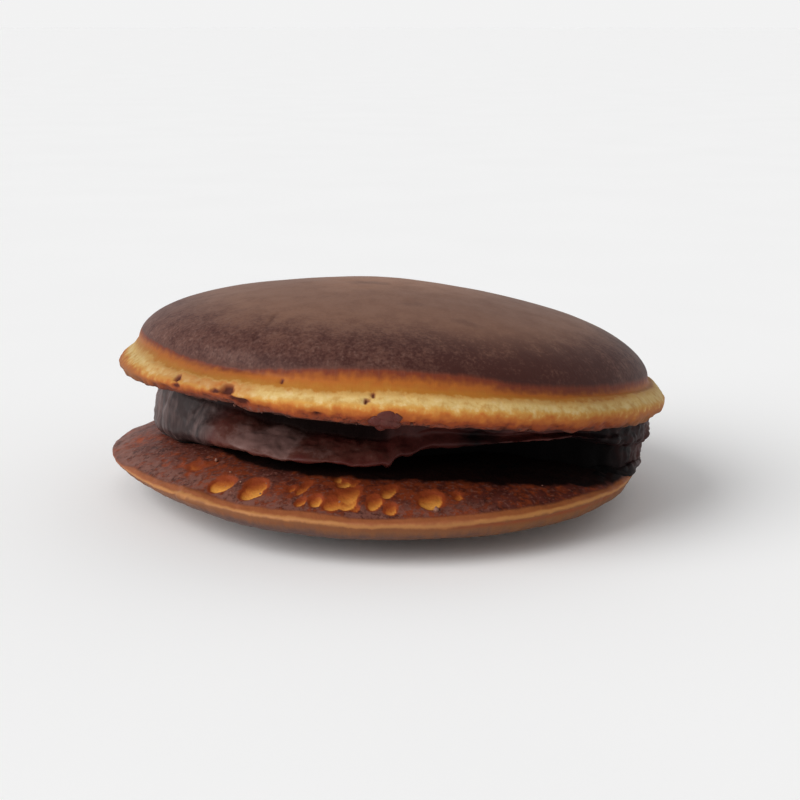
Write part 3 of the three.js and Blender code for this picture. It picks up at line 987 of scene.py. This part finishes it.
class DORAYAKI_OT_upper_pancake(Operator):
    """Make the domed upper pancake with its protruding pale rim"""

    bl_idname = "dorayaki.upper_pancake"
    bl_label = "Upper Pancake"

    def execute(self, context):
        sizes = context.scene.dorayaki_upper
        shape = UpperShape(sizes)
        mesh, along, layers = formed(shape.section, sizes.steps, shape.moved, UPPER_LAYERS)
        tone, baked, dull, browned, ends, hole, mark = layers
        for vert in mesh.verts:
            _, angle = polar(vert)
            distance = vert[along]
            *edges, vert[baked], vert[dull], vert[browned] = eased(UPPER_BANDS, angle)
            vert[tone] = banded(distance, edges)
            vert[ends] = smooth(*WEATHERED, abs(vert.co.x))
            push = self.lumps(vert.co, distance)
            vert[mark], dent = self.marks(vert.co, distance)
            vert[hole], depth = self.holes(vert.co, angle, distance, shape.radius)
            vert.co += vert.normal * (push - dent - depth)
        bmesh.ops.transform(mesh, matrix=shape.place, verts=mesh.verts)
        finished(mesh, "upper_pancake_baked", upper_crust(sizes), ["upper_pancake"])
        return {"FINISHED"}

    @staticmethod
    def lumps(point, distance):
        """A gently uneven dome, a wavy flange and a ragged lower edge."""
        push = bumps(point, (0.2, 16, 0), (0.05, 4.5, 7)) * (1 - smooth(-3, 0, distance))
        flange = window(distance, -0.5, 1.6, 10, 14)
        push += flange * bumps(point, (0.26, 7, 1), (0.13, 2.2, 2), (0.05, 0.9, 3))
        ragged = window(distance, 4.6, 6.2, 9, 12)
        return push + ragged * bumps(point, (0.4, 2.6, 4), (0.3, 1.2, 5))

    @staticmethod
    def marks(point, distance):
        """Darker spots, and a faint fold on the dome whose dark line is painted shade: their strength,
        and how deep they dent it.
        """
        strength = dent = 0.0
        if distance > 0:
            return strength, dent
        for x, y, half_width, half_height, lean, amount in DOME_MARKS:
            across, up = point.x - x, point.y - y
            if abs(across) + abs(up) > 12:
                continue
            turned = Matrix.Rotation(math.radians(lean), 2) @ Vector((across, up))
            uneven = 1 + 0.4 * grain(point, 1.5, 8)
            reach = math.hypot(turned.x / half_width, turned.y / half_height) / uneven
            here = 1 - smooth(0.3, 1.2, reach)
            strength = max(strength, amount * here)
            dent = max(dent, 0.12 * here if half_width < 1 else 0)
        return strength, dent

    @staticmethod
    def holes(point, angle, distance, radius):
        """Small burst holes in the rim: how scorched they are, and how deep."""
        scorched = depth = 0.0
        for degrees, middle, half_width, half_height, deepest in RIM_HOLES:
            across = (angle - math.radians(degrees)) * radius
            down = distance - middle
            if abs(across) + abs(down) > 4:
                continue
            uneven = 1 + 0.4 * grain(point, 0.8, 6)
            reach = math.hypot(across / half_width, down / half_height) / uneven
            depth = max(depth, dish(reach, deepest))
            scorched = max(scorched, 1 - smooth(0.55, 1.5, reach))
        return scorched, depth


class DORAYAKI_OT_lower_pancake(Operator):
    """Make the thin lower pancake with its burst bubbles"""

    bl_idname = "dorayaki.lower_pancake"
    bl_label = "Lower Pancake"

    def execute(self, context):
        sizes = context.scene.dorayaki_lower
        shape = LowerShape(sizes)
        mesh, along, layers = formed(shape.section, sizes.steps, shape.moved, LOWER_LAYERS)
        tone, grey, ashen, bubble, halo, groove, stain = layers
        for vert in mesh.verts:
            radius, angle = polar(vert)
            distance = vert[along]
            *edges, vert[grey], vert[ashen] = eased(LOWER_BANDS, angle)
            vert[tone] = banded(distance, edges)
            if vert.co.z < 0.4:
                continue
            degrees = math.degrees(angle)
            inset = shape.outline(angle) - radius
            push = self.lumps(vert.co, distance, degrees)
            vert[groove], cut = self.layered(vert.co, distance, degrees)
            vert[bubble], vert[halo], depth = self.bubbles(vert.co, angle, radius, inset, distance)
            # Painted shadow: the face turns near-black from a listed distance in from the rim, where the
            # filling shades it.
            if distance < 0:
                limit = eased(FACE_SHADOW, angle)[0] + bumps(vert.co, (0.8, 3, 9), (0.4, 1, 10))
                vert[stain] = smooth(limit - 1.2, limit + 1.2, inset)
            vert.co += vert.normal * (push - cut - depth)
        finished(mesh, "lower_pancake_baked", lower_crust(sizes), ["lower_pancake"])
        return {"FINISHED"}

    @staticmethod
    def lumps(point, distance, degrees):
        """A rough face and a wavy ridge with one small step in it."""
        face = window(distance, -17, -14, -1, 0)
        push = face * bumps(point, (0.15, 5, 1), (0.12, 1.7, 2), (0.06, 0.8, 3))
        rim = window(distance, -1.8, 0, 5, 8)
        push += rim * bumps(point, (0.2, 6, 4), (0.09, 1.6, 5))
        push -= 0.5 * rim * window(degrees, -34, -14, 10, 30)
        step = window(degrees, -139, -137, -136, -124)
        return push + 0.4 * step * window(distance, -2.4, -1.2, 0.2, 1.2)

    @staticmethod
    def layered(point, distance, degrees):
        """The line where the rim's two layers of batter meet, plainest at the right."""
        plain = 0.25 + 0.75 * window(degrees, -84, -66, -40, -28)
        line = 0.75 + 0.18 * grain(point, 9, 6)
        here = math.exp(-(((distance - line) / 0.26) ** 2)) * (0.75 + 0.5 * grain(point, 2, 8))
        return plain * here, 0.28 * plain * here

    @staticmethod
    def bubbles(point, angle, radius, inset, distance):
        """Burst bubbles: how golden they are, brightest at the lower right as painted light, how red
        around, how deep.
        """
        gold = red = depth = 0.0
        if distance < -17 or distance > -0.5:
            return gold, red, depth
        for degrees, middle, half_width, half_height, lean, deepest, brightness in FACE_BUBBLES:
            across = (angle - math.radians(degrees)) * radius
            up = inset - middle
            if abs(across) + abs(up) > 6:
                continue
            turned = Matrix.Rotation(math.radians(lean), 2) @ Vector((across, up))
            weak = 1 - smooth(0.4, 0.7, brightness)
            uneven = 1 + (0.14 + 0.35 * weak) * grain(point, 1.2, 7)
            reach = math.hypot(turned.x / half_width, turned.y / half_height) / uneven
            # Painted light: each bubble's gold is brightest at its lower right, its lit side.
            lit = min(max(0.5 - 0.5 * turned.y / half_height + 0.35 * turned.x / half_width, 0), 1)
            depth = max(depth, dish(reach, deepest, 0.22 + 0.2 * weak) * (0.7 + 0.3 * lit))
            core = 1 - smooth(0.8 - 0.5 * weak, 1.1, reach)
            gold = max(gold, brightness * (0.2 + 0.8 * lit) * core)
            red = max(red, min(brightness + 0.1, 1) * (1 - smooth(0.9, 1.4, reach)))
        return gold, red, depth


class DORAYAKI_OT_filling(Operator):
    """Make the bean paste with its rolled lip and open pocket"""

    bl_idname = "dorayaki.filling"
    bl_label = "Filling"

    def execute(self, context):
        sizes = context.scene.dorayaki_filling
        upper = UpperShape(context.scene.dorayaki_upper)
        lower = LowerShape(context.scene.dorayaki_lower)

        def place(_, angle, __, along):
            return self.moved(along, angle, upper, lower, sizes.sink / MM)

        mesh, along, layers = formed(self.section(), sizes.steps, place, PASTE_LAYERS)
        hollow, moist, film, stroke = layers
        for vert in mesh.verts:
            _, angle = polar(vert)
            part = vert[along] - 1
            # The second value paints shade on the paste where it lies in shadow.
            dry, vert[moist] = eased(FILLING_LOOK, angle)
            # Film is partly a painted highlight: weaker near the top of the side and over the lower half
            # of the lip, where shade falls.
            fade = 0.3 + 0.32 * smooth(-138, -126, math.degrees(angle))
            dry *= 0.5 + 0.5 * smooth(0.1, 0.3, part)
            vert[film] = dry * (1 - fade * smooth(0.37, 0.54, part))
            vert[stroke] = smooth(*STROKED, -angle)
            top, lip, low, *_ = eased(FILLING_EDGE, angle)
            # Painted shade above the lip and in the hollow under it, where the upper pancake and the lip
            # shade the paste.
            above = smooth(2, 6, lip - top) * (1 - smooth(0.1, 0.2, part))
            below = smooth(1.2, 3.5, lip - low) * smooth(0.62, 0.74, part)
            vert[hollow] = max(above * 0.94, below)
            vert.co += vert.normal * self.lumps(vert.co, part, math.degrees(angle), sizes.lumps / MM)
        finished(mesh, "bean_paste_filling", bean_paste(sizes, "bean_paste"), ["filling"])
        return {"FINISHED"}

    @staticmethod
    def section():
        """A flat round slab; along runs 0 to 1 over its top, 1 to 2 down its side, 2 to 3 below."""
        reach, top, bottom = 38, 18, 12
        rings, levels = 12, 100
        over = [(reach * ring / rings, top, ring / rings) for ring in range(rings)]
        drop = (bottom - top) / levels
        side = [(reach, top + drop * level, 1 + level / levels) for level in range(levels + 1)]
        under = [(reach * (1 - ring / rings), bottom, 2 + ring / rings) for ring in range(1, rings + 1)]
        return [*over, *side, *under]

    def moved(self, along, angle, upper, lower, sink):
        """A point of the section, moved to its share of the height between the two pancakes."""
        direction = Vector((math.cos(angle), math.sin(angle), 0))
        edge = self.edge(angle)
        if along < 1:
            radius, height_part = edge[0] * along, 0
        elif along > 2:
            radius, height_part = edge[3] * (3 - along), 1
        else:
            radius, height_part = self.side(along - 1, *edge)
        under_top = direction * radius + Vector((0, 0, sink - upper.underside(radius, angle)))
        on_face = direction * radius + Vector((0, 0, lower.face_height(radius, angle) - sink))
        return (upper.place @ under_top).lerp(on_face, height_part)

    @staticmethod
    def edge(angle):
        """The table's row at an angle, with the unevenness of soft paste and the drips added."""
        top, lip, hollow, foot, start, end = eased(FILLING_EDGE, angle)
        ring = (math.cos(angle) * 30, math.sin(angle) * 30, 0)
        thin = 1 - smooth(2, 6, lip - top)
        top += bumps(ring, (0.5, 5, 1), (0.25, 1.6, 2)) * (1 - thin * 0.6)
        lip += 0.35 * grain(ring, 6, 3)
        foot += bumps(ring, (0.5, 5, 4), (0.3, 1.8, 5))
        start += 0.03 * grain(ring, 4, 6)
        end += bumps(ring, (0.02, 4, 7), (0.014, 1.3, 8))
        for drip, width, length_part in DRIPS:
            end += length_part * math.exp(-(((math.degrees(angle) - drip) / width) ** 2))
        return top, lip, hollow, foot, start, min(end, PASTE_FLOOR - 0.02)

    @staticmethod
    def side(part, top, lip, hollow, foot, start, end):
        """Radius and share of the height: down to the lip, over it, down the hollow, out to the foot."""
        if part < LIP_BEGINS:
            return top, start * part / LIP_BEGINS
        if part < LIP_ENDS:
            lip_part = (part - LIP_BEGINS) / (LIP_ENDS - LIP_BEGINS)
            bulge = math.sin(math.pi * lip_part**LIP_SAG) ** 0.6
            base = top + (hollow - top) * lip_part
            return base + (lip - base) * bulge, start + (end - start) * lip_part
        if part < HOLLOW_ENDS:
            return hollow, end + (PASTE_FLOOR - end) * (part - LIP_ENDS) / (HOLLOW_ENDS - LIP_ENDS)
        out_part = (part - HOLLOW_ENDS) / (1 - HOLLOW_ENDS)
        return hollow + (foot - hollow) * out_part, PASTE_FLOOR + (1 - PASTE_FLOOR) * out_part**6

    @staticmethod
    def lumps(point, part, degrees, height):
        """Smooth lumps at the rolled lip, upright strokes at the left and rough lumps at the right."""
        left = smooth(150, 165, abs(degrees)) * (degrees < 0)
        right = window(degrees, -48, -32, 24, 48)
        low = 0.62 + right * 0.3
        side = window(part, 0.0, 0.1, low, low + 0.08)
        if side == 0:
            return 0.0
        upright = Vector((point.x, point.y, point.z * UPRIGHT))
        push = height * bumps(point, (0.8, 7, 1), (0.7, 2.8, 2))
        push += 0.16 * grain(point, 1.1, 3)
        push += left * bumps(upright, (0.16, 2.2, 4), (0.06, 0.9, 9))
        push += right * (0.7 * abs(grain(point, 3.6, 5)) + 0.5 * abs(grain(point, 1.5, 6)) - 0.3)
        return push * side


class DORAYAKI_OT_smear(Operator):
    """Make the smear of paste on the upper pancake's rim, with its drip"""

    bl_idname = "dorayaki.smear"
    bl_label = "Smear"

    def execute(self, context):
        sizes = context.scene.dorayaki_filling
        upper = UpperShape(context.scene.dorayaki_upper)
        mesh = bmesh.new()
        film = mesh.verts.layers.float.new("film")
        for angle, along, half_width, half_height, thickness in SMEAR_DABS:
            made = bmesh.ops.create_uvsphere(mesh, u_segments=48, v_segments=28, radius=1)
            for vert in made["verts"]:
                flat = vert.co.copy()
                uneven = 1 + 0.25 * grain(flat, 0.9, angle)
                across = flat.x * half_width * uneven / upper.radius
                down = flat.y * half_height * uneven
                spot, outward = upper.at(math.radians(angle) + across, along + down)
                lift = flat.z * thickness + 0.08 * grain(spot, 1.4, 0)
                vert.co = spot + outward * lift
                vert[film] = 0.4
        bmesh.ops.recalc_face_normals(mesh, faces=mesh.faces)
        finished(mesh, "bean_paste_smear", bean_paste(sizes, "bean_paste_smear"))
        return {"FINISHED"}


class DORAYAKI_OT_crumbs(Operator):
    """Make the burnt crumbs on the upper rim and the light ones on the lower face"""

    bl_idname = "dorayaki.crumbs"
    bl_label = "Crumbs"

    def execute(self, context):
        settings = context.scene.dorayaki_crumbs
        upper = UpperShape(context.scene.dorayaki_upper)
        lower = LowerShape(context.scene.dorayaki_lower)
        chance = random.Random(settings.seed)
        burnt = bmesh.new()
        for _ in range(settings.burnt_count):
            degrees = chance.choice((chance.uniform(-140, -112), chance.uniform(-108, -60)))
            spot, outward = upper.at(math.radians(degrees), chance.uniform(6.8, 8.6))
            self.crumb(burnt, spot, outward, chance.uniform(0.12, 0.26), chance)
        finished(burnt, "burnt_crumbs", crumb_finish("burnt_crumbs", settings.burnt))
        light = bmesh.new()
        for degrees, inset, size in LIGHT_CRUMBS:
            spot, outward = lower.at(math.radians(degrees), inset)
            self.crumb(light, spot, outward, size, chance)
        for _ in range(settings.light_count):
            spot, outward = lower.at(math.radians(chance.uniform(-150, -50)), chance.uniform(2.5, 10))
            self.crumb(light, spot, outward, chance.uniform(0.09, 0.16), chance)
        finished(light, "light_crumbs", crumb_finish("light_crumbs", settings.light))
        return {"FINISHED"}

    @staticmethod
    def crumb(mesh, spot, outward, size, chance):
        """A small uneven lump that sits partly in the surface."""
        made = bmesh.ops.create_icosphere(mesh, subdivisions=2, radius=1)
        stretch = Vector([size * chance.uniform(0.7, 1.4) for _ in range(3)])
        twist = Euler([chance.uniform(0, math.tau) for _ in range(3)]).to_matrix()
        offset = chance.uniform(0, 50)
        for vert in made["verts"]:
            shape = vert.co * (1 + 0.3 * grain(vert.co, 0.9, offset))
            vert.co = twist @ (shape * stretch) + spot + outward * size * 0.35


class DORAYAKI_OT_studio(Operator):
    """Make the floor, the lights and the camera"""

    bl_idname = "dorayaki.studio"
    bl_label = "Studio"

    def execute(self, context):
        settings = context.scene.dorayaki_studio
        self.floor(settings)
        self.camera(context, settings)
        self.key(settings)
        context.scene.world = self.sky(settings)
        context.scene.view_settings.view_transform = "Standard"
        return {"FINISHED"}

    @staticmethod
    def floor(settings):
        mesh = bmesh.new()
        bmesh.ops.create_circle(mesh, cap_ends=True, segments=96, radius=FLOOR_RADIUS)
        data = bpy.data.meshes.new("floor")
        mesh.to_mesh(data)
        mesh.free()
        finish = Finish("floor")
        soft = finish.grain(60, 1)
        shade = finish.mix(settings.floor, [channel * 0.97 for channel in settings.floor], soft)
        data.materials.append(finish.surface(shade, 0.85 + soft * 0.05, soft, 0.05))
        floor = bpy.data.objects.new("floor", data)
        bpy.context.scene.collection.objects.link(floor)

    @staticmethod
    def camera(context, settings):
        data = bpy.data.cameras.new("camera")
        data.lens = settings.camera_lens
        data.clip_start = 0.01
        camera = bpy.data.objects.new("camera", data)
        tilt = settings.camera_height
        offset = Vector((0, -math.cos(tilt), math.sin(tilt))) * settings.camera_distance
        camera.location = Vector(settings.camera_target) + offset
        camera.rotation_euler = (math.pi / 2 - tilt, 0, 0)
        context.scene.collection.objects.link(camera)
        context.scene.camera = camera

    @staticmethod
    def key(settings):
        data = bpy.data.lights.new("key_light", "SUN")
        data.energy = settings.key_strength
        data.angle = settings.key_softness
        lamp = bpy.data.objects.new("key_light", data)
        lamp.rotation_euler = Vector(settings.key_direction).to_track_quat("Z", "Y").to_euler()
        bpy.context.scene.collection.objects.link(lamp)

    @staticmethod
    def sky(settings):
        """An even sky, as bright as the floor where the two meet."""
        world = bpy.data.worlds.new("studio")
        world.use_nodes = True
        nodes = Shading(world.node_tree)
        direction = nodes.node("ShaderNodeTexCoord", output="Generated")
        height = nodes.node("ShaderNodeSeparateXYZ", None, {0: direction}, output="Z")
        strength = settings.horizon + (settings.sky - settings.horizon) * height.step(0.1, 0.5)
        sockets = {"Strength": strength, "Color": (1, 1, 1, 1)}
        light = nodes.node("ShaderNodeBackground", None, sockets)
        nodes.node("ShaderNodeOutputWorld", None, {"Surface": light})
        return world


class DORAYAKI_PT_panel(Panel):
    """Lists the pieces in the order they are made"""

    bl_idname = "DORAYAKI_PT_panel"
    bl_label = "Dorayaki"
    bl_space_type = "VIEW_3D"
    bl_region_type = "UI"
    bl_category = "Dorayaki"

    def draw(self, context):
        for name, _, operators in SETTINGS:
            group = getattr(context.scene, name)
            box = self.layout.box()
            for operator in operators:
                box.operator(operator.bl_idname)
            for field in group.bl_rna.properties:
                if not field.is_readonly and field.identifier != "name":
                    box.prop(group, field.identifier)


SETTINGS = [
    ("dorayaki_lower", LowerPancakeSettings, [DORAYAKI_OT_lower_pancake]),
    ("dorayaki_upper", UpperPancakeSettings, [DORAYAKI_OT_upper_pancake]),
    ("dorayaki_filling", FillingSettings, [DORAYAKI_OT_filling, DORAYAKI_OT_smear]),
    ("dorayaki_crumbs", CrumbSettings, [DORAYAKI_OT_crumbs]),
    ("dorayaki_studio", StudioSettings, [DORAYAKI_OT_studio]),
]


def register():
    for name, group, operators in SETTINGS:
        bpy.utils.register_class(group)
        setattr(bpy.types.Scene, name, PointerProperty(type=group))
        for operator in operators:
            bpy.utils.register_class(operator)
    bpy.utils.register_class(DORAYAKI_PT_panel)


def unregister():
    bpy.utils.unregister_class(DORAYAKI_PT_panel)
    for name, group, operators in reversed(SETTINGS):
        for operator in operators:
            bpy.utils.unregister_class(operator)
        delattr(bpy.types.Scene, name)
        bpy.utils.unregister_class(group)


def main():
    register()
    bpy.ops.dorayaki.lower_pancake()
    bpy.ops.dorayaki.upper_pancake()
    bpy.ops.dorayaki.filling()
    bpy.ops.dorayaki.smear()
    bpy.ops.dorayaki.crumbs()
    bpy.ops.dorayaki.studio()


if __name__ == "__main__":
    main()
